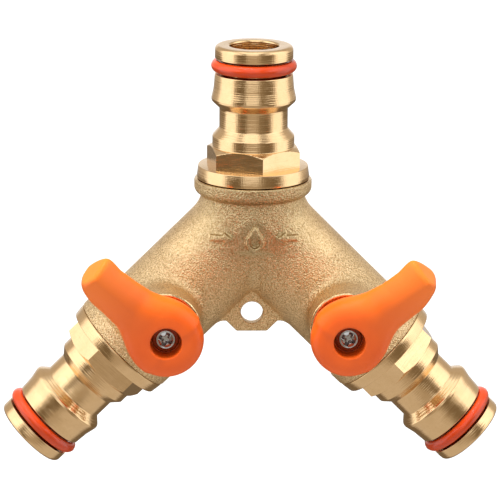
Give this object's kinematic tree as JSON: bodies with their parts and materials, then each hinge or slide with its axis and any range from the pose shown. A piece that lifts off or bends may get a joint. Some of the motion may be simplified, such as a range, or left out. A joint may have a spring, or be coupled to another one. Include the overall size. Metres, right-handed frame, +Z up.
{
  "type": "hose splitter",
  "caption": "Y-shaped brass hose splitter with quick-connect nipples, a lever ball valve on each outlet leg, and a hanging lug between the legs.",
  "frame": {"origin": "on the inlet axis, in the middle of the inlet nipple's tip land, 1.55 mm below its tip face", "axes": "+Z up along the inlet and out of its tip, +X from the left outlet to the right one as seen from the lever side, the levers on the -Y side"},
  "size_m": [0.1028, 0.0467, 0.0878],
  "materials": {
    "cast_brass": "sand cast, blasted, fine sparkling grain",
    "turned_brass": "turned and polished, fine lathe lines",
    "stem_brass": "turned",
    "orange_plastic": "satin moulded, fine grain",
    "hose_oring": "moulded silicone, satin",
    "black_rubber": "moulded, matt",
    "ptfe": "machined, matt white",
    "chromed_ball": "mirror polished",
    "screw_steel": "bright plated"
  },
  "bodies": {
    "root": {"valve_body": "cast_brass", "inlet_nipple": "turned_brass", "left_outlet_nipple": "turned_brass", "right_outlet_nipple": "turned_brass", "inlet_hose_oring": "hose_oring", "left_outlet_hose_oring": "hose_oring", "right_outlet_hose_oring": "hose_oring", "inlet_flange_seal": "black_rubber", "left_outlet_flange_seal": "black_rubber", "right_outlet_flange_seal": "black_rubber", "left_inner_seat": "ptfe", "left_outer_seat": "ptfe", "left_thrust_washer": "ptfe", "right_inner_seat": "ptfe", "right_outer_seat": "ptfe", "right_thrust_washer": "ptfe"},
    "left_lever": {"left_lever": "orange_plastic", "left_lever_screw": "screw_steel", "left_stem": "stem_brass", "left_lower_stem_oring": "black_rubber", "left_upper_stem_oring": "black_rubber"},
    "left_ball": {"left_ball": "chromed_ball"},
    "right_lever": {"right_lever": "orange_plastic", "right_lever_screw": "screw_steel", "right_stem": "stem_brass", "right_lower_stem_oring": "black_rubber", "right_upper_stem_oring": "black_rubber"},
    "right_ball": {"right_ball": "chromed_ball"}
  },
  "joints": [
    {"name": "left_lever_turn", "type": "hinge", "parent": "root", "child": "left_lever", "pos_m": [-0.01831, 0, -0.05316], "axis": [0, 1, 0], "range_deg": [0, 90]},
    {"name": "left_ball_turn", "type": "hinge", "parent": "root", "child": "left_ball", "pos_m": [-0.01831, 0, -0.05316], "axis": [0, 1, 0], "range_deg": [0, 90]},
    {"name": "right_lever_turn", "type": "hinge", "parent": "root", "child": "right_lever", "pos_m": [0.01831, 0, -0.05316], "axis": [0, -1, 0], "range_deg": [0, 90]},
    {"name": "right_ball_turn", "type": "hinge", "parent": "root", "child": "right_ball", "pos_m": [0.01831, 0, -0.05316], "axis": [0, -1, 0], "range_deg": [0, 90]}
  ],
  "couplings": [
    {"joint": "left_ball_turn", "follows": "left_lever_turn", "ratio": 1},
    {"joint": "right_ball_turn", "follows": "right_lever_turn", "ratio": 1}
  ]
}
